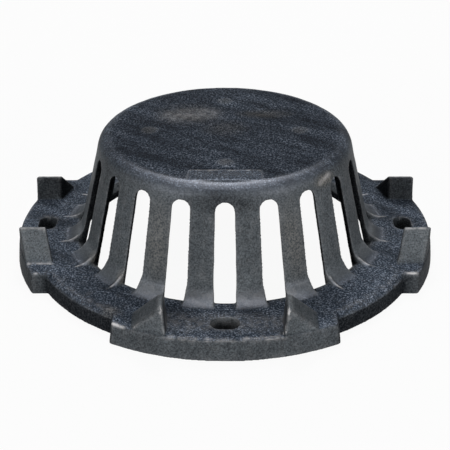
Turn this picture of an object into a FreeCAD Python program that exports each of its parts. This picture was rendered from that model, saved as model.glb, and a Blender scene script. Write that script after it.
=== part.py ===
import FreeCAD, Part
import math
import os

# Dome strainer of a roof or area drain: one iron casting, in millimetres, with +Z up.
# The flange's underside lies on z = 0 and the drain's axis is the Z axis.
# A flat-topped slotted cone stands on a flange with equal lobes, and each lobe has
# one bolt slot and a pair of wedge-shaped gravel stops.

# Bolt slots: obround, with the long way around the flange
BOLT_CIRCLE_RADIUS = 132.0
BOLT_SLOT_LENGTH = 19.0
BOLT_SLOT_WIDTH = 12.7

# Flange: a ring around the bolt circle, with lobes that stand out from it
FLANGE_THICKNESS = 15.2
RING_MARGIN = 11.0
RING_WALL_DRAFT = 3.0
RING_EDGE_BEVEL = 3.8
LOBE_COUNT = 4
LOBE_PROJECTION = 9.5
LOBE_WIDTH = 148.6
LOBE_WALL_DRAFT = 6.5
LOBE_END_DRAFT = 7.5
LOBE_CORNER_ROUND = 3.0
LOBE_EDGE_BEVEL = 0.9

# Inner edge of the flange: a bevelled sill between the ribs, and a relief underneath
# that clears the drain body's collar
SILL_SETBACK = 2.1
SILL_BEVEL = 4.5
RELIEF_WIDTH = 13.5
RELIEF_DEPTH = 5.2

# Gravel stops: a steep face towards the bolt and a long slope away from it
STOP_END_MARGIN = 14.6
STOP_SPREAD = 22.8
STOP_HEIGHT = 18.5
STOP_LENGTH = 18.2
STOP_RIDGE_WIDTH = 2.6
STOP_FACE_LEAN = 5.4
STOP_SETBACK = 0.2
STOP_ROOT = 3.0
STOP_EDGE_BEVEL = 1.0

# Dome: its cone and its top plane would meet at the crown radius
DOME_HEIGHT = 90.0
CROWN_RADIUS = 88.4
CONE_ANGLE = 13.85
CROWN_ROUND = 10.0
DOME_WALL = 4.2
CROWN_PLATE = 6.0
FOOT_ROUND = 16.0
FOOT_SINK = 0.2

# Slots between the ribs: straight sides under a round arch, which flare inwards from just
# outside the cone. The sides lean in a little more than lines to the cone's tip would.
SLOT_COUNT = 20
SLOT_ANGLE = 7.8
SLOT_SIDE_LEAN = 0.4
SLOT_TOP_MARGIN = 10.8
SLOT_LEAD = 0.5
SLOT_FLARE = 21.0

# Raised pads on the top: an oblong one by the edge, and a circle of round bosses
PAD_LENGTH = 47.0
PAD_WIDTH = 13.0
PAD_EDGE_MARGIN = 10.4
PAD_HEIGHT = 1.0
PAD_BEVEL = 0.5
BOSS_COUNT = 4
BOSS_DIAMETER = 11.5
BOSS_CIRCLE_RADIUS = 53.5
BOSS_HEIGHT = 0.8

# How far a cutting tool runs past the metal, and how close two points count as one in a cut
CUT_MARGIN = 5.0
CUT_TOLERANCE = 0.0001

RING_RADIUS = BOLT_CIRCLE_RADIUS + RING_MARGIN
LOBE_RADIUS = RING_RADIUS + LOBE_PROJECTION
# The ribs root halfway up the sill's inner wall
RIB_ROOT_Z = (RELIEF_DEPTH + FLANGE_THICKNESS - SILL_BEVEL) / 2
ORIGIN = FreeCAD.Vector(0, 0, 0)
AXIS = FreeCAD.Vector(0, 0, 1)
FULL_TURN = 360.0


def vec(r, z):
    """A point of a profile: r sideways or from the axis, and z up."""
    return FreeCAD.Vector(r, 0, z)


def line(start, end):
    """A straight edge."""
    return Part.LineSegment(start, end).toShape()


def arc(centre, radius, from_angle, to_angle):
    """An arc in the profile plane between two directions, in degrees from +r towards +z."""
    points = []
    for angle in (from_angle, (from_angle + to_angle) / 2, to_angle):
        turn = math.radians(angle)
        points.append(centre + vec(radius * math.cos(turn), radius * math.sin(turn)))
    return Part.Arc(*points).toShape()


def profile(pieces):
    """The closed face whose outline runs through points and arcs, joined by straight edges."""
    edges = []
    ends = []
    for piece in pieces:
        is_arc = isinstance(piece, Part.Edge)
        ends.append((piece.firstVertex().Point, piece.lastVertex().Point) if is_arc else (piece, piece))
        if is_arc:
            edges.append(piece)
    for this, following in zip(ends, ends[1:] + ends[:1]):
        edges.append(line(this[1], following[0]))
    return Part.Face(Part.Wire(Part.__sortEdges__(edges)))


def spin(pieces):
    """A solid of revolution about the drain's axis."""
    return profile(pieces).revolve(ORIGIN, AXIS, FULL_TURN)


def around(shape, count):
    """Copies of a shape, evenly spaced about the drain's axis."""
    copies = []
    for i in range(count):
        copy = shape.copy()
        copy.rotate(ORIGIN, AXIS, i * FULL_TURN / count)
        copies.append(copy)
    return copies


def mirrored(shape):
    """The same shape on the other side of the lobe's middle."""
    return shape.mirror(ORIGIN, FreeCAD.Vector(1, 0, 0))


def middle_radius(edge):
    """Distance of an edge's middle from the drain's axis."""
    return math.hypot(edge.CenterOfMass.x, edge.CenterOfMass.y)


def cone_radius(z):
    """Outer radius of the dome's cone at height z."""
    return CROWN_RADIUS + (DOME_HEIGHT - z) * math.tan(math.radians(CONE_ANGLE))


def lobe_wall_radius(z):
    """Radius of a lobe's outer wall at height z."""
    return LOBE_RADIUS - z * math.tan(math.radians(LOBE_WALL_DRAFT))


def sill_radius():
    """Inner radius of the flange between the ribs."""
    return cone_radius(FLANGE_THICKNESS) - SILL_SETBACK


def ring():
    """The flange's ring, with a bevelled outer top edge, and the sill and relief inside."""
    bevel_z = FLANGE_THICKNESS - RING_EDGE_BEVEL
    bevel_r = RING_RADIUS - bevel_z * math.tan(math.radians(RING_WALL_DRAFT))
    return spin([
        vec(sill_radius(), RELIEF_DEPTH),
        vec(sill_radius() + RELIEF_WIDTH, 0),
        vec(RING_RADIUS, 0),
        vec(bevel_r, bevel_z),
        vec(bevel_r - RING_EDGE_BEVEL, FLANGE_THICKNESS),
        vec(sill_radius() + SILL_BEVEL, FLANGE_THICKNESS),
        vec(sill_radius(), FLANGE_THICKNESS - SILL_BEVEL),
    ])


def lobe():
    """One lobe, towards -Y, with its core left to the ring."""
    top_width = LOBE_WIDTH - 2 * FLANGE_THICKNESS * math.tan(math.radians(LOBE_END_DRAFT))
    section = profile([
        vec(-LOBE_WIDTH / 2, 0),
        vec(LOBE_WIDTH / 2, 0),
        vec(top_width / 2, FLANGE_THICKNESS),
        vec(-top_width / 2, FLANGE_THICKNESS),
    ])
    bar = section.extrude(FreeCAD.Vector(0, -LOBE_RADIUS - CUT_MARGIN, 0))
    wall = Part.makeCone(LOBE_RADIUS, lobe_wall_radius(FLANGE_THICKNESS), FLANGE_THICKNESS)
    core_radius = (sill_radius() + RING_RADIUS) / 2
    block = bar.common(wall).cut(Part.makeCylinder(core_radius, FLANGE_THICKNESS))
    corners = [
        edge for edge in block.Edges
        if edge.BoundBox.ZLength > FLANGE_THICKNESS / 2 and middle_radius(edge) > RING_RADIUS
    ]
    block = block.makeFillet(LOBE_CORNER_ROUND, corners)
    rim = [
        edge for edge in block.Edges
        if edge.BoundBox.ZMin > FLANGE_THICKNESS - LOBE_EDGE_BEVEL and middle_radius(edge) > core_radius
    ]
    return block.makeChamfer(LOBE_EDGE_BEVEL, rim)


def gravel_stop():
    """One wedge on the -Y lobe, on its +X side."""
    base_z = FLANGE_THICKNESS - STOP_ROOT
    ridge_z = FLANGE_THICKNESS + STOP_HEIGHT
    toe_x = LOBE_WIDTH / 2 - STOP_END_MARGIN
    foot_x = toe_x - STOP_SPREAD
    lean = math.tan(math.radians(STOP_FACE_LEAN))
    ridge_x = foot_x + STOP_HEIGHT * lean
    slope_x = ridge_x + STOP_RIDGE_WIDTH
    slope_run = (toe_x - slope_x) / STOP_HEIGHT
    section = profile([
        vec(foot_x - STOP_ROOT * lean, base_z),
        vec(ridge_x, ridge_z),
        vec(slope_x, ridge_z),
        vec(toe_x + STOP_ROOT * slope_run, base_z),
    ])
    bar = section.extrude(FreeCAD.Vector(0, -LOBE_RADIUS - CUT_MARGIN, 0))
    outer_radius = lobe_wall_radius(FLANGE_THICKNESS) - STOP_SETBACK
    outer_reach = math.sqrt(outer_radius ** 2 - (STOP_SPREAD / 2) ** 2)
    corner = FreeCAD.Vector(-LOBE_WIDTH / 2, -outer_reach, 0)
    slab = Part.makeBox(LOBE_WIDTH, STOP_LENGTH, ridge_z + CUT_MARGIN, corner)
    slab.rotate(ORIGIN, AXIS, math.degrees(math.asin((foot_x + toe_x) / 2 / outer_radius)))
    wedge = bar.common(slab)
    raised = [edge for edge in wedge.Edges if edge.BoundBox.ZMax > FLANGE_THICKNESS]
    return wedge.makeChamfer(STOP_EDGE_BEVEL, raised)


def bolt_slot():
    """Cutting tool for the -Y lobe's bolt slot."""
    end_radius = BOLT_SLOT_WIDTH / 2
    end_offset = BOLT_SLOT_LENGTH / 2 - end_radius
    outline = profile([
        arc(vec(end_offset, 0), end_radius, -90.0, 90.0),
        arc(vec(-end_offset, 0), end_radius, 90.0, 270.0),
    ])
    tool = outline.extrude(FreeCAD.Vector(0, -FLANGE_THICKNESS - 2 * CUT_MARGIN, 0))
    tool.rotate(ORIGIN, FreeCAD.Vector(1, 0, 0), -90.0)
    tool.translate(FreeCAD.Vector(0, -BOLT_CIRCLE_RADIUS, -CUT_MARGIN))
    return tool


def slot_outline(depth, growth):
    """Outline of a dome slot at a depth under the cone's slope, grown to all sides but the base."""
    lean = math.radians(CONE_ANGLE)
    half_slope = math.tan(math.radians(SLOT_ANGLE / 2))
    taper = math.sin(lean) * half_slope + math.tan(math.radians(SLOT_SIDE_LEAN))
    top = (DOME_HEIGHT - SLOT_TOP_MARGIN) / math.cos(lean)
    base = (RIB_ROOT_Z - CUT_MARGIN) / math.cos(lean)
    arch_radius = (cone_radius(0) * half_slope - top * taper) / (1 - taper)
    spring = top - arch_radius
    base_half = arch_radius + (spring - base) * taper + growth
    arch = arc(vec(0, spring), arch_radius + growth, 0.0, 180.0)
    outline = profile([vec(-base_half, base), vec(base_half, base), arch]).OuterWire
    outline.translate(FreeCAD.Vector(0, depth, 0))
    return outline


def slot_tool():
    """Cutting tool for the dome's -Y slot, made flat and then laid on the cone's slope."""
    outward = FOOT_ROUND + CUT_MARGIN
    inward = SLOT_LEAD + DOME_WALL + CUT_MARGIN
    mouth = slot_outline(-SLOT_LEAD - outward, outward * math.tan(math.radians(SLOT_ANGLE / 2)))
    waist = slot_outline(-SLOT_LEAD, 0)
    throat = slot_outline(inward - SLOT_LEAD, inward * math.tan(math.radians(SLOT_FLARE)))
    tool = Part.makeLoft([mouth, waist, throat], True, True)
    tool.rotate(ORIGIN, FreeCAD.Vector(1, 0, 0), -CONE_ANGLE)
    tool.translate(FreeCAD.Vector(0, -cone_radius(0), 0))
    return tool


def dome():
    """The slotted shell of the dome, whose ribs root in the flange."""
    lean = math.radians(CONE_ANGLE)
    crown_z = DOME_HEIGHT - CROWN_ROUND
    crown_centre = vec(cone_radius(crown_z) - CROWN_ROUND / math.cos(lean), crown_z)
    crown = arc(crown_centre, CROWN_ROUND, CONE_ANGLE, 90.0)
    foot_z = FLANGE_THICKNESS - FOOT_SINK + FOOT_ROUND
    foot_centre = vec(cone_radius(foot_z) + FOOT_ROUND / math.cos(lean), foot_z)
    foot = arc(foot_centre, FOOT_ROUND, 270.0, 180.0 + CONE_ANGLE)
    ceiling_z = DOME_HEIGHT - CROWN_PLATE
    across_wall = DOME_WALL / math.cos(lean)
    shell = spin([
        vec(cone_radius(RIB_ROOT_Z) - across_wall, RIB_ROOT_Z),
        vec(foot_centre.x, RIB_ROOT_Z),
        foot,
        crown,
        vec(0, DOME_HEIGHT),
        vec(0, ceiling_z),
        vec(cone_radius(ceiling_z) - across_wall, ceiling_z),
    ])
    return shell.cut(around(slot_tool(), SLOT_COUNT), CUT_TOLERANCE)


def oblong_pad():
    """The bare oblong pad by the crown's edge, towards -Y, with bevelled top edges."""
    top = DOME_HEIGHT + PAD_HEIGHT
    height = CROWN_PLATE / 2 + PAD_HEIGHT
    corner = FreeCAD.Vector(-PAD_LENGTH / 2, PAD_EDGE_MARGIN - CROWN_RADIUS, top - height)
    pad = Part.makeBox(PAD_LENGTH, PAD_WIDTH, height, corner)
    return pad.makeChamfer(PAD_BEVEL, [edge for edge in pad.Edges if edge.BoundBox.ZMin > top - PAD_BEVEL])


def round_boss():
    """One low round boss on the top, towards -Y."""
    base = FreeCAD.Vector(0, -BOSS_CIRCLE_RADIUS, DOME_HEIGHT - CROWN_PLATE / 2)
    return Part.makeCylinder(BOSS_DIAMETER / 2, CROWN_PLATE / 2 + BOSS_HEIGHT, base)


def dome_strainer():
    """The whole casting."""
    stop = gravel_stop()
    metal = (
        around(lobe(), LOBE_COUNT)
        + around(stop, LOBE_COUNT)
        + around(mirrored(stop), LOBE_COUNT)
        + [dome(), oblong_pad()]
        + around(round_boss(), BOSS_COUNT)
    )
    return ring().multiFuse(metal).cut(around(bolt_slot(), LOBE_COUNT)).removeSplitter()


os.makedirs("parts", exist_ok=True)
casting = dome_strainer()
casting.exportStep("parts/dome_strainer.step")
print("valid", casting.isValid(), "solids", len(casting.Solids), "volume", round(casting.Volume))
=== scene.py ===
"""Looks of a cast-iron dome strainer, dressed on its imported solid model."""

import logging
import math
from dataclasses import dataclass
from enum import Enum
from typing import Any

import bmesh
import bpy
import numpy as np
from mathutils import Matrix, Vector


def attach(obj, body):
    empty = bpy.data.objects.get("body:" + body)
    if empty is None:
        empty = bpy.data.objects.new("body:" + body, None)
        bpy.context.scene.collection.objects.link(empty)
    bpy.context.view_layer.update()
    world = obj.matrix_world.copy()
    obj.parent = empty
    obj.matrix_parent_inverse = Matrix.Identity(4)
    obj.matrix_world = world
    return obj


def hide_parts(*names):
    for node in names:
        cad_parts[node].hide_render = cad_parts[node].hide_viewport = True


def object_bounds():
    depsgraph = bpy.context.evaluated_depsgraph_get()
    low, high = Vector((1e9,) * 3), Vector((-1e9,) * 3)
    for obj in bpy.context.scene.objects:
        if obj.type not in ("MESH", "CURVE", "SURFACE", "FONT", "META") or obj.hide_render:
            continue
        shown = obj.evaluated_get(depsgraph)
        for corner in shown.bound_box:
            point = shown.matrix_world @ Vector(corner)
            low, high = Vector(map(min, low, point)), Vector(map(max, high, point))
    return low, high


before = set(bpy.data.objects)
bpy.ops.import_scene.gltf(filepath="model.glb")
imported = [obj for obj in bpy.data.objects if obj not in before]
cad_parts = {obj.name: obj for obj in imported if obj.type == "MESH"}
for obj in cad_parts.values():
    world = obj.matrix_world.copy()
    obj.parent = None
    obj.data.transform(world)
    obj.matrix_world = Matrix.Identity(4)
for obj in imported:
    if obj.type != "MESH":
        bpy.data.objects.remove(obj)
CAD_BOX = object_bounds()
LOG = logging.getLogger("dome_strainer")
MM = 0.001
Rgba = tuple[float, float, float, float]
Triple = tuple[float, float, float]
Span = tuple[float, float]


class Mark(Enum):
    """Names of the point attributes that the coat reads from the casting's mesh."""

    LEVEL = "level"
    # Painted shade: where shade falls, the coat is drawn near black.
    DARK = "painted_shade"
    SATIN = "satin"
    # Rubbed edges, and a painted highlight along the front lobe's rim.
    EDGE = "edge"
    # Painted shade in creases and recesses.
    CREASE_SHADE = "crease_shade"
    # Bare metal, and painted highlights and light on the sills, the front feet, the pad's back edge and the front
    # flange.
    BARE_AND_LIT = "bare_and_lit"
    # Brown dust, and painted light on the two ribs beside the front ones.
    DUST_AND_LIGHT = "dust_and_light"


class Pattern(Enum):
    """Noises that break up the coat."""

    GRAIN = "grain"
    CHIP = "chip"
    MOTTLE = "mottle"
    STREAK = "streak"


class Tone(Enum):
    """Colours of the coat and of what shows on it, in sRGB."""

    STEEP = "44484B"
    LEVEL = "2A313A"
    GLINT = "868D9A"
    # Brown of the dust, also used as painted light on two ribs.
    DUST_AND_LIGHT = "69645B"
    # Pale of bare metal and of painted highlights.
    PALE = "B4B2B2"
    # Near black of the painted shade.
    SHADE_BLACK = "0C0E12"
    SHEEN = "DCE2F3"


def linear(code: str) -> Rgba:
    """Turn an sRGB hex colour into linear light.

    Args:
        code: Six hex digits.

    Returns:
        The colour with alpha 1.
    """
    parts = [int(code[i:i + 2], 16) / 255 for i in (0, 2, 4)]
    r, g, b = (p / 12.92 if p <= 0.04045 else ((p + 0.055) / 1.055) ** 2.4 for p in parts)
    return r, g, b, 1.0


def put(tree: bpy.types.NodeTree, kind: str, settings: dict[str, Any],
        inputs: dict[Any, Any]) -> bpy.types.Node:
    """Add a node to a tree.

    Args:
        tree: Tree that gets the node.
        kind: The node's type name.
        settings: Properties of the node.
        inputs: Socket name or number to a value, or to a socket that feeds it.

    Returns:
        The new node.
    """
    node = tree.nodes.new(kind)
    for name, value in settings.items():
        setattr(node, name, value)
    for key, value in inputs.items():
        if isinstance(value, bpy.types.NodeSocket):
            tree.links.new(value, node.inputs[key])
        else:
            node.inputs[key].default_value = value
    return node


def ramp(values: np.ndarray, start: float, end: float) -> np.ndarray:
    """Rise evenly from 0 at start to 1 at end, whichever of them is larger."""
    return np.clip((values - start) / (end - start), 0, 1)


def read_points(mesh: bpy.types.Mesh) -> np.ndarray:
    """Read a mesh's points.

    Args:
        mesh: Mesh of the points.

    Returns:
        Rows of x, y and z, in metres.
    """
    flat = np.empty(len(mesh.vertices) * 3, dtype=np.float32)
    mesh.vertices.foreach_get("co", flat)
    return flat.reshape(-1, 3)


def write_points(mesh: bpy.types.Mesh, points: np.ndarray) -> None:
    """Put a mesh's points at rows of x, y and z in metres."""
    mesh.vertices.foreach_set("co", points.ravel())
    mesh.update()


@dataclass(frozen=True)
class Layer:
    """A colour over the coat, where a mark lies and as far as a noise lets it."""

    mark: Mark
    tone: Tone
    pattern: Pattern | None = None
    noise: Span = (0.0, 1.0)
    share: Span = (0.0, 1.0)


@dataclass(frozen=True)
class SandCastCoat:
    """Dark dip coat on sand-cast grey iron.

    The sand's grain stays in the metal and the thin coat follows it. Level faces keep the most
    grain, so they look matt and speckled; steep faces left the mould smoother. Level faces are
    drawn darker and slate blue, steep faces greyer. The crown's round and the ribs' feet are
    burnished to a satin sheen. The coat is rubbed pale on edges and holds brown dust where water
    dries. Painted shade makes recesses, creases, the top and faces turned sideways or down near
    black, and painted highlights and light make the front lobe's rim, the sills, the front feet,
    the pad's back edge, the front of the flange and two ribs paler.
    """

    # Moulding sand is about 0.3 mm, too fine to show, so its grain is drawn coarser.
    grain_mm: float = 1.15
    chip_mm: float = 5.0
    mottle_mm: float = 28.0
    streak_mm: Triple = (60.0, 14.0, 30.0)
    streak_turn_deg: float = -35.0
    bump_mm: float = 0.16
    # On steep, level and burnished faces.
    roughness: Triple = (0.50, 0.78, 0.40)
    specular: Triple = (0.06, 0.05, 1.08)
    # On steep and level faces.
    bump_strength: Span = (0.5, 0.9)
    mottle_depth: Span = (0.16, 0.16)
    streak_depth: Span = (0.12, 0.5)
    grain_depth: Span = (0.55, 0.8)
    # Between which values a noise or a mark works, and what it gives there.
    depth_noise: Span = (0.3, 0.7)
    glint_level: Span = (0.55, 1.0)
    glint_noise: Span = (0.35, 0.65)
    glint_share: Span = (0.15, 1.0)
    layers: tuple[Layer, ...] = (
        Layer(Mark.LEVEL, Tone.GLINT, Pattern.GRAIN, (0.53, 0.68), (0.0, 0.85)),
        # Dust, and painted light on two ribs.
        Layer(Mark.DUST_AND_LIGHT, Tone.DUST_AND_LIGHT, Pattern.GRAIN, (0.42, 0.60), (0.1, 1.0)),
        # Rubbed edges, and a painted highlight on the front lobe's rim.
        Layer(Mark.EDGE, Tone.PALE, Pattern.CHIP, (0.40, 0.65), (0.06, 0.24)),
        # Painted shade in creases.
        Layer(Mark.CREASE_SHADE, Tone.SHADE_BLACK),
        # Painted shade where shade falls.
        Layer(Mark.DARK, Tone.SHADE_BLACK, Pattern.GRAIN, (0.35, 0.65), (1.0, 0.74)),
        # Bare metal, and painted highlights and light.
        Layer(Mark.BARE_AND_LIT, Tone.PALE, Pattern.CHIP, (0.36, 0.60), (0.1, 1.0)),
    )

    def build(self) -> bpy.types.Material:
        """Make the material.

        Returns:
            The coat's material.
        """
        material = bpy.data.materials.new("coated_cast_iron")
        material.use_nodes = True
        tree = material.node_tree
        tree.nodes.clear()
        marks = {mark: put(tree, "ShaderNodeAttribute", {"attribute_name": mark.value}, {}).outputs["Fac"]
                 for mark in Mark}
        noises = self.noises(tree)
        colour = self.toned(tree, marks[Mark.LEVEL], noises)
        colour = self.layered(tree, colour, marks, noises)
        roughness, specular = (self.by_face(tree, marks, values) for values in (self.roughness, self.specular))
        dulled = put(tree, "ShaderNodeMapRange", {},
                     {"Value": marks[Mark.DARK], "To Min": specular, "To Max": 0.0})
        relief = put(tree, "ShaderNodeMapRange", {},
                     {"Value": marks[Mark.LEVEL], "To Min": self.bump_strength[0], "To Max": self.bump_strength[1]})
        bump = put(tree, "ShaderNodeBump", {},
                   {"Height": noises[Pattern.GRAIN], "Distance": self.bump_mm * MM, "Strength": relief.outputs[0]})
        shader = put(tree, "ShaderNodeBsdfPrincipled", {},
                     {"Base Color": colour, "Roughness": roughness, "Specular IOR Level": dulled.outputs[0],
                      "Specular Tint": linear(Tone.SHEEN.value), "Normal": bump.outputs[0]})
        put(tree, "ShaderNodeOutputMaterial", {}, {"Surface": shader.outputs[0]})
        return material

    def noises(self, tree: bpy.types.NodeTree) -> dict[Pattern, bpy.types.NodeSocket]:
        """Make the noises, each at its size on the casting.

        Args:
            tree: Tree that gets the nodes.

        Returns:
            Each pattern's socket.
        """
        place = put(tree, "ShaderNodeTexCoord", {}, {}).outputs["Object"]
        turned = put(tree, "ShaderNodeMapping", {"vector_type": "TEXTURE"},
                     {"Vector": place, "Rotation": (0, 0, math.radians(self.streak_turn_deg)),
                      "Scale": tuple(size * MM for size in self.streak_mm)}).outputs[0]
        plans = ((Pattern.GRAIN, place, 1 / (self.grain_mm * MM), 2.0, 0.6),
                 (Pattern.CHIP, place, 1 / (self.chip_mm * MM), 4.0, 0.6),
                 (Pattern.MOTTLE, place, 1 / (self.mottle_mm * MM), 5.0, 0.6),
                 (Pattern.STREAK, turned, 1.0, 3.0, 0.55))
        return {pattern: put(tree, "ShaderNodeTexNoise", {},
                             {"Vector": vector, "Scale": scale, "Detail": detail, "Roughness": roughness}).outputs[0]
                for pattern, vector, scale, detail, roughness in plans}

    def toned(self, tree: bpy.types.NodeTree, level: bpy.types.NodeSocket,
              noises: dict[Pattern, bpy.types.NodeSocket]) -> bpy.types.NodeSocket:
        """Make the plain coat, lighter and darker as the noises go.

        Args:
            tree: Tree that gets the nodes.
            level: How level the face is.
            noises: Each pattern's socket.

        Returns:
            The colour's socket.
        """
        colour = put(tree, "ShaderNodeMix", {"data_type": "RGBA"},
                     {0: level, 6: linear(Tone.STEEP.value), 7: linear(Tone.LEVEL.value)}).outputs[2]
        depths = {Pattern.MOTTLE: self.mottle_depth, Pattern.STREAK: self.streak_depth,
                  Pattern.GRAIN: self.grain_depth}
        for pattern, (on_steep, on_level) in depths.items():
            low, high = (put(tree, "ShaderNodeMapRange", {},
                             {"Value": level, "To Min": 1 + way * on_steep, "To Max": 1 + way * on_level})
                         for way in (-1, 1))
            tone = put(tree, "ShaderNodeMapRange", {},
                       {"Value": noises[pattern],
                        "From Min": self.depth_noise[0], "From Max": self.depth_noise[1],
                        "To Min": low.outputs[0], "To Max": high.outputs[0]})
            colour = put(tree, "ShaderNodeMix", {"data_type": "RGBA", "blend_type": "MULTIPLY"},
                         {0: 1.0, 6: colour, 7: tone.outputs[0]}).outputs[2]
        return colour

    def layered(self, tree: bpy.types.NodeTree, colour: bpy.types.NodeSocket,
                marks: dict[Mark, bpy.types.NodeSocket],
                noises: dict[Pattern, bpy.types.NodeSocket]) -> bpy.types.NodeSocket:
        """Lay the glints, the dust, the rubbed edges, the painted shade and the bare metal over the plain coat, with
        painted highlights and light among the dust, edges and bare metal.

        Args:
            tree: Tree that gets the nodes.
            colour: The plain coat's colour.
            marks: Each mark's socket.
            noises: Each pattern's socket.

        Returns:
            The colour's socket.
        """
        flat = put(tree, "ShaderNodeMapRange", {},
                   {"Value": marks[Mark.LEVEL], "From Min": self.glint_level[0], "From Max": self.glint_level[1]})
        cover = put(tree, "ShaderNodeMapRange", {},
                    {"Value": noises[Pattern.STREAK],
                     "From Min": self.glint_noise[0], "From Max": self.glint_noise[1],
                     "To Min": self.glint_share[0], "To Max": self.glint_share[1]})
        glints = put(tree, "ShaderNodeMath", {"operation": "MULTIPLY"}, {0: cover.outputs[0], 1: flat.outputs[0]})
        lying = {**marks, Mark.LEVEL: glints.outputs[0]}
        for layer in self.layers:
            share = lying[layer.mark]
            if layer.pattern:
                broken = put(tree, "ShaderNodeMapRange", {},
                             {"Value": noises[layer.pattern],
                              "From Min": layer.noise[0], "From Max": layer.noise[1],
                              "To Min": layer.share[0], "To Max": layer.share[1]})
                share = put(tree, "ShaderNodeMath", {"operation": "MULTIPLY"},
                            {0: share, 1: broken.outputs[0]}).outputs[0]
            colour = put(tree, "ShaderNodeMix", {"data_type": "RGBA"},
                         {0: share, 6: colour, 7: linear(layer.tone.value)}).outputs[2]
        return colour

    def by_face(self, tree: bpy.types.NodeTree, marks: dict[Mark, bpy.types.NodeSocket],
                values: Triple) -> bpy.types.NodeSocket:
        """Choose a value by the kind of face.

        Args:
            tree: Tree that gets the nodes.
            marks: Each mark's socket.
            values: Value on steep, level and burnished faces.

        Returns:
            The value's socket.
        """
        steep, level, burnished = values
        plain = put(tree, "ShaderNodeMapRange", {}, {"Value": marks[Mark.LEVEL], "To Min": steep, "To Max": level})
        return put(tree, "ShaderNodeMapRange", {},
                   {"Value": marks[Mark.SATIN], "To Min": plain.outputs[0], "To Max": burnished}).outputs[0]


@dataclass(frozen=True)
class Patch:
    """A soft round patch on the casting, in millimetres."""

    centre: Triple
    reach: Triple
    strength: float
    edge: float = 1.4

    def cover(self, spots: np.ndarray) -> np.ndarray:
        """Find how far the patch covers points in millimetres."""
        gap = np.linalg.norm((spots - np.array(self.centre)) / np.array(self.reach), axis=1)
        return self.strength * np.clip(self.edge - gap, 0, 1)


@dataclass(frozen=True)
class WearAndLightLine:
    """A pale stretch on the casting, in millimetres. Most are rubbed to bare metal; those marked in the list are
    painted light.
    """

    start: Triple
    end: Triple
    width: float
    strength: float
    edge: float = 1.5

    def cover(self, spots: np.ndarray) -> np.ndarray:
        """Find how bare points are.

        Args:
            spots: Points, in millimetres.

        Returns:
            0 off the line to its strength on it.
        """
        start = np.array(self.start)
        run = np.array(self.end) - start
        share = np.clip((spots - start) @ run / (run @ run), 0, 1)[:, None]
        gap = np.linalg.norm(spots - start - share * run, axis=1)
        return self.strength * np.clip(self.edge - gap / self.width, 0, 1)


@dataclass(frozen=True)
class Sills:
    """Thin ridges that run out over the flange beside the ribs' feet, at the slots' far sides."""

    slot_step_deg: float = 18.0
    slots_deg: Span = (36.0, 108.0)
    turn_deg: float = 4.6
    reach_mm: Span = (108.0, 122.5)
    start_mm: float = 2.0
    end_mm: float = 4.0
    width_mm: float = 0.7
    edge: float = 1.4
    between_z: Span = (14.2, 21.2)
    rise_mm: float = 0.35

    def cover(self, spots: np.ndarray) -> np.ndarray:
        """Find the ridges.

        Args:
            spots: Points, in millimetres.

        Returns:
            0 off the ridges to 1 on them.
        """
        x, y, height = spots.T
        radius = np.hypot(x, y)
        turn = np.degrees(np.arctan2(np.abs(x), -y)) - self.turn_deg
        slot = np.round(turn / self.slot_step_deg) * self.slot_step_deg
        aside = np.abs(np.radians(turn - slot)) * radius
        near = np.clip(self.edge - aside / self.width_mm, 0, 1)
        near *= (slot >= self.slots_deg[0]) * (slot <= self.slots_deg[1])
        near *= np.clip((radius - self.reach_mm[0]) / self.start_mm, 0, 1)
        near *= np.clip((self.reach_mm[1] - radius) / self.end_mm, 0, 1)
        return near * (height > self.between_z[0]) * (height < self.between_z[1])

    def raise_on(self, mesh: bpy.types.Mesh) -> None:
        """Raise the ridges on the casting.

        Args:
            mesh: Mesh that is changed.
        """
        points = read_points(mesh)
        points[:, 2] += self.rise_mm * MM * self.cover(points / MM)
        write_points(mesh, points)


class Ties:
    """Which points of a mesh are neighbours, to spread values between them."""

    def __init__(self, mesh: bpy.types.Mesh) -> None:
        """Read a mesh's edges.

        Args:
            mesh: Mesh of the points.
        """
        pairs = np.empty(len(mesh.edges) * 2, dtype=np.int32)
        mesh.edges.foreach_get("vertices", pairs)
        self.a, self.b = pairs.reshape(-1, 2).T
        self.size = len(mesh.vertices)
        self.count = np.bincount(pairs, minlength=self.size)

    def spread(self, values: np.ndarray, rounds: int) -> np.ndarray:
        """Even values out with those of the neighbours.

        Args:
            values: One number or one row a point.
            rounds: How often the points share.

        Returns:
            The evened values.
        """
        rows = values.reshape(self.size, -1).astype(np.float64)
        for _ in range(rounds):
            total = np.stack([np.bincount(self.a, row[self.b], self.size)
                              + np.bincount(self.b, row[self.a], self.size) for row in rows.T], 1)
            rows = 0.5 * rows + 0.5 * total / self.count[:, None]
        return rows.reshape(values.shape)


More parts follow.
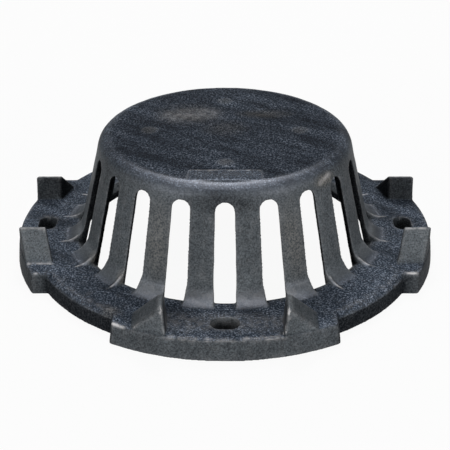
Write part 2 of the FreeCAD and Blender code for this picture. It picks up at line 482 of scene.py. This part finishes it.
class Surface:
    """Points of the casting in millimetres, with what the coat's marks ask about each of them."""

    def __init__(self, mesh: bpy.types.Mesh) -> None:
        """Read a mesh's points and their outward directions.

        Args:
            mesh: Mesh of the casting.
        """
        self.spots = read_points(mesh) / MM
        normals = np.empty(len(mesh.vertices) * 3, dtype=np.float32)
        mesh.vertex_normals.foreach_get("vector", normals)
        self.normals = normals.reshape(-1, 3)
        self.x, self.y, self.height = self.spots.T
        self.up = self.normals[:, 2]
        self.upright = np.abs(self.up) < 0.4
        self.sideways = np.abs(self.normals[:, 0])
        self.radius = np.hypot(self.x, self.y)
        distance = np.maximum(self.radius, 1.0)
        self.outward = self.dot(self.spots, self.normals) / distance
        self.at_front = -self.y / distance
        self.at_side = np.abs(self.x) / distance
        self.reach, self.side, self.facing_out, self.facing_bolt = self.on_lobes()

    @staticmethod
    def dot(rows: np.ndarray, others: np.ndarray) -> np.ndarray:
        """Multiply rows of directions in the level plane."""
        return np.einsum("ij,ij->i", rows[:, :2], others[:, :2])

    def on_lobes(self) -> tuple[np.ndarray, np.ndarray, np.ndarray, np.ndarray]:
        """Find each point's place on the nearest of the four lobes, and which way it faces there.

        Returns:
            Distance out and aside from the lobe's middle line, and how far the point faces out and
            towards the bolt.
        """
        lobe = np.round(np.arctan2(self.x, -self.y) / (np.pi / 2)) * np.pi / 2
        out = np.stack([np.sin(lobe), -np.cos(lobe)], 1)
        along = np.stack([np.cos(lobe), np.sin(lobe)], 1)
        side = self.dot(self.spots, along)
        return (self.dot(self.spots, out), side, self.dot(self.normals, out),
                -np.sign(side) * self.dot(self.normals, along))


@dataclass(frozen=True)
class PaintedShades:
    """Painted shade by place: how near black the coat is drawn, from 0 for none to 1."""

    stop_face: float = 0.7
    stop_end: float = 0.9
    bolt_hole: float = 0.6
    sunk_wall: float = 0.96
    front_wall: float = 0.3
    side_wall: float = 0.5
    side_face: float = 0.8
    side_slope: float = 0.55
    top: float = 0.6
    behind_pad: float = 0.9
    rib_side: float = 0.36
    crown_side: float = 0.42
    front_rib: float = 0.17
    underside: float = 0.6
    # Shares of the blackness around them.
    low_slot: float = 0.35
    pad: float = 0.45
    boss: float = 0.7


@dataclass(frozen=True)
class CoatMap:
    """Where the coat is level, satin, rubbed, bare or dusty, and where shade and light are painted on it, in
    millimetres.
    """

    top_z: float = 90.0
    crown_z: float = 78.0
    flange_z: float = 15.2
    foot_z: float = 31.2
    flare_z: float = 35.2
    hole_z: float = 14.6
    sunk_z: float = 11.6
    clear_mm: float = 0.6
    plate_radius: float = 70.0
    crown_radius: float = 76.0
    rib_radius: float = 119.0
    stop_radius: float = 122.0
    foot_radius: float = 124.0
    rim_radius: float = 140.0
    sunk_radius: Span = (140.5, 144.5)
    stop_reach: float = 118.0
    bolt_reach: float = 132.0
    bolt_hole_half: Span = (10.3, 7.2)
    side_lobe_x: float = 100.0
    pad_half: float = 23.5
    pad_y: float = -60.0
    pad_back_y: float = -64.2
    pad_line_half: float = 0.9
    front_highlight_half: float = 40.0
    front_highlight_drop: float = 3.0
    rib_side_z: Span = (22.0, 42.0)
    front_rib_z: Span = (26.0, 34.0)
    painted_shades: PaintedShades = PaintedShades()
    sills: Sills = Sills()
    edge_mm: float = 0.30
    crease_shade_mm: float = 0.45
    crease_shade_most: float = 0.7
    edge_share: float = 1.2
    crown_edge_share: float = 0.4
    front_highlight_share: float = 10.0
    sill_highlight: float = 0.6
    foot_highlight: float = 0.14
    edge_rounds: int = 4
    level_rounds: int = 6
    shade_rounds: int = 2
    satin_rounds: int = 3
    dust_and_light_patches: tuple[Patch, ...] = (
        Patch((-53.5, 0.0, 90.8), (5.5, 5.5, 3.0), 0.34),
        Patch((53.5, 0.0, 90.8), (5.5, 5.5, 3.0), 0.34),
        Patch((0.0, -53.5, 90.8), (5.5, 5.5, 3.0), 0.42),
        Patch((0.0, 53.5, 90.8), (5.5, 5.5, 3.0), 0.32),
        Patch((-26.0, 29.0, 90.0), (22.0, 17.0, 3.0), 0.4),
        Patch((29.0, 30.0, 90.0), (17.0, 7.0, 3.0), 0.45),
        Patch((0.0, 4.0, 90.0), (14.0, 12.0, 3.0), 0.3),
        Patch((-73.9, -117.4, 13.0), (7.0, 5.0, 4.0), 0.35),
        Patch((64.5, -60.0, 81.5), (9.0, 9.0, 4.0), 0.9),
        Patch((-91.0, -58.0, 19.0), (4.0, 5.0, 5.0), 0.7),
        Patch((-69.0, -83.0, 19.0), (4.0, 5.0, 5.0), 0.7),
        # These two patches lighten the ribs either side of the front ones: painted light.
        Patch((-45.0, -88.0, 50.0), (10.0, 10.0, 30.0), 0.34),
        Patch((45.0, -88.0, 50.0), (10.0, 10.0, 30.0), 0.34),
    )
    # A dark patch on the crown's front middle: painted shade.
    crown_shade_patch: Patch = Patch((0.0, -91.0, 79.5), (24.0, 12.0, 8.0), 0.64, 1.5)
    wear_and_light_lines: tuple[WearAndLightLine, ...] = (
        WearAndLightLine((-72.3, -132.0, 15.2), (-64.8, -136.5, 15.2), 1.2, 0.9),
        WearAndLightLine((-57.5, -139.5, 17.0), (-47.9, -142.5, 29.0), 0.8, 0.6),
        WearAndLightLine((-44.0, -143.5, 33.7), (-41.0, -143.5, 33.7), 1.0, 0.6),
        WearAndLightLine((-144.0, -41.2, 33.7), (-127.1, -41.2, 33.7), 0.8, 0.4),
        WearAndLightLine((-140.0, -59.6, 15.4), (-119.0, -59.6, 15.4), 0.7, 0.4),
        WearAndLightLine((-133.0, -71.8, 15.2), (-126.8, -71.8, 15.2), 0.8, 0.4),
        WearAndLightLine((-144.0, 40.4, 33.7), (-127.1, 40.4, 33.7), 0.8, 0.6),
        WearAndLightLine((123.0, -71.8, 15.2), (134.0, -71.3, 15.2), 0.9, 0.75),
        WearAndLightLine((127.1, -41.2, 33.7), (144.0, -41.2, 33.7), 0.8, 0.65),
        WearAndLightLine((127.1, 40.4, 33.7), (144.0, 40.4, 33.7), 0.8, 0.35),
        WearAndLightLine((62.2, -64.2, 80.8), (69.0, -57.4, 83.0), 1.8, 0.42),
        WearAndLightLine((-38.0, 26.0, 90.0), (-14.0, 31.0, 90.0), 9.0, 0.13),
        WearAndLightLine((-17.0, -71.5, 91.0), (17.0, -71.5, 91.0), 4.0, 0.05),
        # A wide pale band on the front flange: a painted pool of light.
        WearAndLightLine((-36.0, -131.0, 15.2), (36.0, -131.0, 15.2), 9.0, 0.115),
        # The pale line along the pad's back edge: a painted highlight.
        WearAndLightLine((-23.0, -65.3, 91.0), (23.0, -65.3, 91.0), 0.8, 0.4),
    )

    def store(self, mesh: bpy.types.Mesh) -> None:
        """Store the marks as attributes of the mesh's points.

        Args:
            mesh: Mesh that gets the attributes.
        """
        skin, ties = Surface(mesh), Ties(mesh)
        proud = np.einsum("ij,ij->i", skin.spots - ties.spread(skin.spots, self.edge_rounds), skin.normals)
        edge = np.clip(proud / self.edge_mm, 0, 1)
        below = skin.height < self.crown_z
        # The pale line along the front lobe's rim is a painted highlight.
        front_highlight = (skin.y < -self.rim_radius) & (np.abs(skin.x) < self.front_highlight_half)
        front_highlight &= skin.height > self.flange_z - self.front_highlight_drop
        satin = ties.spread(self.satin(skin), self.satin_rounds)
        values = {
            Mark.LEVEL: ties.spread(self.level(skin), self.level_rounds),
            Mark.DARK: ties.spread(self.painted_shade_map(skin), self.shade_rounds),
            Mark.SATIN: satin,
            Mark.EDGE: np.where(front_highlight, self.front_highlight_share * edge * edge,
                                edge * np.where(below, self.edge_share, self.crown_edge_share)),
            # Concave places below the crown are drawn near black: painted shade.
            Mark.CREASE_SHADE: np.clip(-proud / self.crease_shade_mm, 0, self.crease_shade_most) * below,
            Mark.BARE_AND_LIT: self.bare_and_highlight_map(skin, satin),
            Mark.DUST_AND_LIGHT: np.max([patch.cover(skin.spots) for patch in self.dust_and_light_patches], axis=0),
        }
        for mark, value in values.items():
            layer = mesh.attributes.new(mark.value, "FLOAT", "POINT")
            layer.data.foreach_set("value", value.astype(np.float32))

    def level(self, skin: Surface) -> np.ndarray:
        """Find the level faces: the top, its round and the flange's upper side, but not the gravel stops.

        Args:
            skin: The casting's surface.

        Returns:
            1 on level faces and 0 elsewhere.
        """
        # The ribs' feet count as level only where nearly flat, so they keep the lighter steep colour: painted
        # highlight.
        feet = (skin.radius < self.foot_radius) & (skin.height < self.flare_z)
        rims = (skin.radius > self.foot_radius) & (skin.height < self.flange_z + self.clear_mm)
        low = np.where(feet, 0.85, 0.2)
        high = np.where(rims, 0.6, 0.995)
        level = np.clip((skin.up - low) / (high - low), 0, 1)
        stops = (skin.radius > self.stop_radius) & (skin.height > self.flange_z + self.clear_mm)
        return np.where(stops, 0.0, level * level * (3 - 2 * level))

    def satin(self, skin: Surface) -> np.ndarray:
        """Find the rounds that water and hands have burnished: the crown's and the ribs' feet.

        Args:
            skin: The casting's surface.

        Returns:
            0 for the matt coat to 1 for satin.
        """
        crown = np.interp(skin.up, (0.2, 0.35, 0.6, 0.75, 0.985, 0.9985), (0, 0.3, 0.4, 1, 1, 0))
        crown *= np.clip((skin.at_front - 0.45) / 0.45, 0.15, 1)
        crown *= (skin.radius > self.plate_radius) * (skin.height < self.top_z + 0.25)
        feet = ramp(skin.outward, 0.05, 0.2) * ramp(skin.up, 0.5, 0.7)
        feet *= (skin.radius < self.foot_radius) * (skin.height < self.foot_z)
        return np.where(skin.height > self.crown_z, crown, feet)

    def bare_and_highlight_map(self, skin: Surface, satin: np.ndarray) -> np.ndarray:
        """Find where the coat is rubbed to bare metal along edges, and where pale is painted as light: highlights on
        the sills, the front feet and the pad's back edge, and a pool of light on the front flange.

        Args:
            skin: The casting's surface.
            satin: How burnished it is.

        Returns:
            0 for the coat to 1 for bare metal, or for full painted light.
        """
        # The front feet's paler coat is a painted highlight, and so are the pale lines on the sills.
        feet = self.foot_highlight * satin * ramp(skin.at_front, 0.8, 0.92) * (skin.height < self.foot_z)
        sills = self.sill_highlight * self.sills.cover(skin.spots)
        return np.max([line.cover(skin.spots) for line in self.wear_and_light_lines] + [sills, feet], axis=0)

    def painted_shade_map(self, skin: Surface) -> np.ndarray:
        """Find where shade is painted on the coat, near black.

        Args:
            skin: The casting's surface.

        Returns:
            0 for no painted shade to 1 for black.
        """
        # Faces turned downwards get painted shade.
        under = self.painted_shades.underside * (skin.up < -0.6)
        return np.max([self.slot_painted_shade(skin), self.stop_painted_shade(skin), self.rim_painted_shade(skin), self.top_painted_shade(skin),
                       self.dome_painted_shade(skin), under], axis=0)

    def slot_painted_shade(self, skin: Surface) -> np.ndarray:
        """Find the painted shade on the slots' sides and the dome's inside, less dark near the flange.

        Args:
            skin: The casting's surface.

        Returns:
            0 for no painted shade to 1 for black.
        """
        slots = ramp(skin.outward, 0.55, 0.35) * ramp(skin.up, 0.45, 0.25) * (skin.radius < self.rib_radius)
        rise = np.clip((skin.height - self.flange_z) / (self.foot_z - self.flange_z), self.painted_shades.low_slot, 1)
        return slots * np.where(skin.outward > -0.3, rise, 1)

    def stop_painted_shade(self, skin: Surface) -> np.ndarray:
        """Find the painted shade on the gravel stops' faces beside the bolts and on their inner ends.

        Args:
            skin: The casting's surface.

        Returns:
            0 for no painted shade to 1 for black.
        """
        stops = (skin.height > self.flange_z + 1) & (skin.reach > self.stop_reach)
        faces = self.painted_shades.stop_face * ramp(skin.facing_bolt, 0.5, 0.7)
        ends = self.painted_shades.stop_end * ramp(-skin.facing_out, 0.4, 0.6)
        return stops * np.maximum(faces, ends)

    def rim_painted_shade(self, skin: Surface) -> np.ndarray:
        """Find the painted shade in the bolt holes, on the rim's walls and on what faces sideways beyond the dome.

        Args:
            skin: The casting's surface.

        Returns:
            0 for no painted shade to 1 for black.
        """
        length, width = self.bolt_hole_half
        holes = (np.abs(skin.side) < length) * (np.abs(skin.reach - self.bolt_reach) < width)
        holes *= skin.height < self.hole_z
        inner, outer = self.sunk_radius
        sunk = (skin.radius > inner) * (skin.radius < outer) * (skin.height < self.sunk_z) * skin.upright
        walls = np.where(np.abs(skin.x) > self.side_lobe_x, self.painted_shades.side_wall, self.painted_shades.front_wall)
        walls *= (skin.radius > self.rim_radius) * skin.upright * (skin.height < self.flange_z)
        # Faces turned sideways beyond the dome get painted shade.
        sides = np.where(skin.upright, self.painted_shades.side_face, self.painted_shades.side_slope)
        sides *= ramp(skin.sideways, 0.45, 0.75) * (skin.radius > self.stop_radius) * (skin.up < 0.85)
        return np.max([self.painted_shades.bolt_hole * holes, self.painted_shades.sunk_wall * sunk, walls, sides], axis=0)

    def top_painted_shade(self, skin: Surface) -> np.ndarray:
        """Find the painted shade on the top, less dark on the pad and the bosses, and the painted shadow line behind
        the pad.

        Args:
            skin: The casting's surface.

        Returns:
            0 for no painted shade to 1 for black.
        """
        raised = skin.height > self.top_z + self.clear_mm
        top = self.painted_shades.top * np.interp(skin.up, (0.5, 0.8, 0.98, 0.998), (0, 0.3, 0.3, 1))
        top *= skin.height > self.crown_z
        top *= np.where(raised, np.where(skin.y < self.pad_y, self.painted_shades.pad, self.painted_shades.boss), 1)
        line = (np.abs(skin.x) < self.pad_half) * (np.abs(skin.y - self.pad_back_y) < self.pad_line_half)
        return np.maximum(top, self.painted_shades.behind_pad * line * (skin.height > self.top_z - 1) * ~raised)

    def dome_painted_shade(self, skin: Surface) -> np.ndarray:
        """Find the painted shade on the ribs and the crown where they face sideways, on the front ribs and in a
        patch on the crown's front.

        Args:
            skin: The casting's surface.

        Returns:
            0 for no painted shade to 1 for black.
        """
        ribs = self.painted_shades.rib_side * ramp(skin.sideways, 0.55, 0.9) * ramp(skin.height, *self.rib_side_z)
        ribs *= skin.radius < self.stop_radius
        crown = self.painted_shades.crown_side * ramp(skin.at_side, 0.5, 0.85)
        crown *= (skin.height > self.crown_z) * (skin.radius > self.crown_radius)
        front = self.painted_shades.front_rib * ramp(skin.at_front, 0.90, 0.97) * ramp(skin.height, *self.front_rib_z)
        front *= (skin.outward > 0.5) * (skin.radius < self.rib_radius)
        return np.max([ribs, crown, front, self.crown_shade_patch.cover(skin.spots)], axis=0)


@dataclass(frozen=True)
class Casting:
    """The whole casting, as a skin with soft, uneven cast edges over the solid model's form."""

    node: str = "dome_strainer"
    weld_mm: float = 0.001
    voxel_mm: float = 0.5
    rounding: int = 7
    triangles: int = 185_000
    # Depths are for a noise's whole span, from 0 to 1.
    swell_mm: float = 0.48
    swell_size_mm: float = 11.0
    pit_mm: float = 0.08
    pit_size_mm: float = 2.8
    noise_middle: float = 0.55
    coat_map: CoatMap = CoatMap()

    def build(self, coat: bpy.types.Material) -> bpy.types.Object:
        """Make the skin that stands for the solid model.

        Args:
            coat: Finish of the casting.

        Returns:
            The skin's object.
        """
        skin = bpy.data.objects.new("casting", self.remeshed())
        bpy.context.scene.collection.objects.link(skin)
        self.roughen(skin, coat)
        self.coat_map.sills.raise_on(skin.data)
        self.thin(skin)
        self.coat_map.store(skin.data)
        skin.data.shade_smooth()
        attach(skin, "root")
        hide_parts(self.node)
        LOG.info("casting: %d faces", len(skin.data.polygons))
        return skin

    def remeshed(self) -> bpy.types.Mesh:
        """Give the solid model's form an even mesh with slightly rounded edges.

        Returns:
            The new mesh.
        """
        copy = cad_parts[self.node].data.copy()
        cleaner = bmesh.new()
        cleaner.from_mesh(copy)
        bmesh.ops.remove_doubles(cleaner, verts=cleaner.verts, dist=self.weld_mm * MM)
        cleaner.to_mesh(copy)
        cleaner.free()
        even = self.evaluated(copy, "REMESH", mode="VOXEL", voxel_size=self.voxel_mm * MM)
        return self.evaluated(even, "SMOOTH", factor=0.5, iterations=self.rounding)

    def evaluated(self, mesh: bpy.types.Mesh, kind: str, **settings: Any) -> bpy.types.Mesh:
        """Run a mesh through one modifier.

        Args:
            mesh: Mesh that the modifier works on.
            kind: The modifier's type.
            **settings: The modifier's properties.

        Returns:
            The resulting mesh.
        """
        holder = bpy.data.objects.new("holder", mesh)
        bpy.context.scene.collection.objects.link(holder)
        modifier = holder.modifiers.new("step", kind)
        for name, value in settings.items():
            setattr(modifier, name, value)
        result = bpy.data.meshes.new_from_object(holder.evaluated_get(bpy.context.evaluated_depsgraph_get()))
        bpy.data.objects.remove(holder)
        return result

    def roughen(self, skin: bpy.types.Object, coat: bpy.types.Material) -> None:
        """Raise and sink the skin as a sand mould leaves it.

        Args:
            skin: Object that is changed.
            coat: Finish that the tree sets.
        """
        tree = bpy.data.node_groups.new("sand_mould_skin", "GeometryNodeTree")
        sizes = {"Swell depth": self.swell_mm, "Swell size": self.swell_size_mm,
                 "Pit depth": self.pit_mm, "Pit size": self.pit_size_mm}
        tree.interface.new_socket("Geometry", in_out="INPUT", socket_type="NodeSocketGeometry")
        sockets = {name: tree.interface.new_socket(name, in_out="INPUT", socket_type="NodeSocketFloat")
                   for name in sizes}
        sockets["Coat"] = tree.interface.new_socket("Coat", in_out="INPUT", socket_type="NodeSocketMaterial")
        tree.interface.new_socket("Geometry", in_out="OUTPUT", socket_type="NodeSocketGeometry")
        given = put(tree, "NodeGroupInput", {}, {}).outputs
        spot = put(tree, "GeometryNodeInputPosition", {}, {}).outputs[0]
        steps = []
        for name in ("Swell", "Pit"):
            scale = put(tree, "ShaderNodeMath", {"operation": "DIVIDE"}, {0: 1.0, 1: given[f"{name} size"]})
            noise = put(tree, "ShaderNodeTexNoise", {}, {"Vector": spot, "Scale": scale.outputs[0], "Detail": 2.0})
            centred = put(tree, "ShaderNodeMath", {"operation": "SUBTRACT"},
                          {0: noise.outputs[0], 1: self.noise_middle})
            steps.append(put(tree, "ShaderNodeMath", {"operation": "MULTIPLY"},
                             {0: centred.outputs[0], 1: given[f"{name} depth"]}).outputs[0])
        lift = put(tree, "ShaderNodeMath", {"operation": "ADD"}, {0: steps[0], 1: steps[1]})
        outwards = put(tree, "GeometryNodeInputNormal", {}, {})
        offset = put(tree, "ShaderNodeVectorMath", {"operation": "SCALE"},
                     {0: outwards.outputs[0], "Scale": lift.outputs[0]})
        moved = put(tree, "GeometryNodeSetPosition", {}, {"Geometry": given[0], "Offset": offset.outputs[0]})
        real = put(tree, "GeometryNodeRealizeInstances", {}, {0: moved.outputs[0]})
        dressed = put(tree, "GeometryNodeSetMaterial", {}, {"Geometry": real.outputs[0], "Material": given["Coat"]})
        put(tree, "NodeGroupOutput", {}, {0: dressed.outputs[0]})
        modifier = skin.modifiers.new("skin", "NODES")
        modifier.node_group = tree
        for name, size in sizes.items():
            modifier[sockets[name].identifier] = size * MM
        modifier[sockets["Coat"].identifier] = coat
        self.bake(skin)

    def thin(self, skin: bpy.types.Object) -> None:
        """Leave out points that flat stretches don't need.

        Args:
            skin: Object that is changed.
        """
        faces = sum(len(p.vertices) - 2 for p in skin.data.polygons)
        modifier = skin.modifiers.new("thin", "DECIMATE")
        modifier.ratio = min(1.0, self.triangles / faces)
        self.bake(skin)

    def bake(self, skin: bpy.types.Object) -> None:
        """Turn an object's modifiers into its mesh, inside the solid model's box.

        Args:
            skin: Object that is changed.
        """
        result = bpy.data.meshes.new_from_object(skin.evaluated_get(bpy.context.evaluated_depsgraph_get()))
        skin.modifiers.clear()
        skin.data = result
        points = read_points(result)
        np.clip(points, np.array(CAD_BOX[0]), np.array(CAD_BOX[1]), out=points)
        write_points(result, points)


@dataclass(frozen=True)
class Lamp:
    """A square soft lamp, in metres and watts."""

    name: str
    place: Triple
    size: float
    power: float

    def hang(self, aim: Triple) -> None:
        """Hang the lamp so that it points at a place.

        Args:
            aim: The place, in metres.
        """
        light = bpy.data.lights.new(self.name, "AREA")
        light.size = self.size
        light.energy = self.power
        lamp = bpy.data.objects.new(self.name, light)
        lamp.location = self.place
        lamp.rotation_euler = (Vector(aim) - Vector(self.place)).to_track_quat("-Z", "Y").to_euler()
        bpy.context.scene.collection.objects.link(lamp)


@dataclass(frozen=True)
class Studio:
    """Pale floor that turns up into a round wall, with soft lamps, in metres."""

    floor_radius: float = 30.0
    wall_height: float = 3.0
    wall_sides: int = 48
    floor_colour: str = "B4B4B4"
    floor_glow: float = 0.93
    sky: float = 0.09
    aim: Triple = (0.0, 0.0, 0.05)
    lamps: tuple[Lamp, ...] = (
        Lamp("top_lamp", (0.0, 0.05, 1.6), 1.4, 15.0),
        Lamp("crest_lamp", (0.0, 0.88, 1.34), 0.5, 14.0),
        Lamp("back_lamp", (0.0, 1.7, 0.5), 1.0, 7.0),
        Lamp("left_lamp", (-1.106, -1.318, 0.526), 0.6, 20.5),
        Lamp("right_lamp", (1.106, -1.318, 0.526), 0.6, 20.5),
    )

    def build(self) -> None:
        """Make the floor, the world and the lamps."""
        self.floor()
        self.world()
        for lamp in self.lamps:
            lamp.hang(self.aim)
        bpy.context.scene.view_settings.view_transform = "Standard"

    def seen_directly(self, tree: bpy.types.NodeTree) -> bpy.types.NodeSocket:
        """Find which rays show the background itself.

        Args:
            tree: Tree that gets the nodes.

        Returns:
            A socket that is 1 for camera, glossy and transmission rays.
        """
        path = put(tree, "ShaderNodeLightPath", {}, {}).outputs
        first = put(tree, "ShaderNodeMath", {"operation": "MAXIMUM"},
                    {0: path["Is Camera Ray"], 1: path["Is Glossy Ray"]})
        return put(tree, "ShaderNodeMath", {"operation": "MAXIMUM"},
                   {0: first.outputs[0], 1: path["Is Transmission Ray"]}).outputs[0]

    def floor(self) -> None:
        """Make the floor, white to the eye but still holding the casting's faint shadow."""
        mesh = bpy.data.meshes.new("floor")
        turns = [2 * math.pi * i / self.wall_sides for i in range(self.wall_sides)]
        rim = [(self.floor_radius * math.cos(turn), self.floor_radius * math.sin(turn)) for turn in turns]
        points = [(x, y, z) for z in (0.0, self.wall_height) for x, y in rim]
        faces = [tuple(range(self.wall_sides))]
        for i in range(self.wall_sides):
            j = (i + 1) % self.wall_sides
            faces.append((j, i, i + self.wall_sides, j + self.wall_sides))
        mesh.from_pydata(points, [], faces)
        floor = bpy.data.objects.new("floor", mesh)
        bpy.context.scene.collection.objects.link(floor)
        mesh.materials.append(self.board())
        LOG.info("floor: %.1f m to the wall", self.floor_radius)

    def board(self) -> bpy.types.Material:
        """Make the floor's finish: matt white board, plain and without a sheen.

        Returns:
            The board's material.
        """
        material = bpy.data.materials.new("matt_white_board")
        material.use_nodes = True
        tree = material.node_tree
        tree.nodes.clear()
        matt = put(tree, "ShaderNodeBsdfDiffuse", {}, {"Color": linear(self.floor_colour)})
        glow = put(tree, "ShaderNodeEmission", {}, {"Strength": 1.0})
        share = put(tree, "ShaderNodeMath", {"operation": "MULTIPLY"},
                    {0: self.seen_directly(tree), 1: self.floor_glow})
        both = put(tree, "ShaderNodeMixShader", {}, {0: share.outputs[0], 1: matt.outputs[0], 2: glow.outputs[0]})
        put(tree, "ShaderNodeOutputMaterial", {}, {"Surface": both.outputs[0]})
        return material

    def world(self) -> None:
        """Make the soft even light above the wall."""
        world = bpy.data.worlds.new("studio")
        bpy.context.scene.world = world
        world.use_nodes = True
        tree = world.node_tree
        tree.nodes.clear()
        sky = put(tree, "ShaderNodeBackground", {}, {"Strength": self.sky})
        put(tree, "ShaderNodeOutputWorld", {}, {"Surface": sky.outputs[0]})


@dataclass(frozen=True)
class PhotoCamera:
    """Camera at the photograph's viewing angle, fitted to the casting's edges."""

    focal_px: float = 1043.36
    frame_px: float = 450.0
    sensor_mm: float = 36.0
    nearest: float = 0.01
    place: Triple = (0.0, -0.681163, 0.390115)
    pitch_deg: float = 28.956

    def build(self) -> None:
        """Make the camera and give it to the scene."""
        data = bpy.data.cameras.new("photo_camera")
        data.sensor_width = self.sensor_mm
        data.lens = self.focal_px * self.sensor_mm / self.frame_px
        data.clip_start = self.nearest
        camera = bpy.data.objects.new("photo_camera", data)
        camera.location = self.place
        camera.rotation_euler = (math.radians(90 - self.pitch_deg), 0, 0)
        bpy.context.scene.collection.objects.link(camera)
        bpy.context.scene.camera = camera


def main() -> None:
    """Build the casting, the studio and the camera."""
    logging.basicConfig(level=logging.INFO)
    coat = SandCastCoat().build()
    Casting().build(coat)
    Studio().build()
    PhotoCamera().build()


if __name__ == "__main__":
    main()
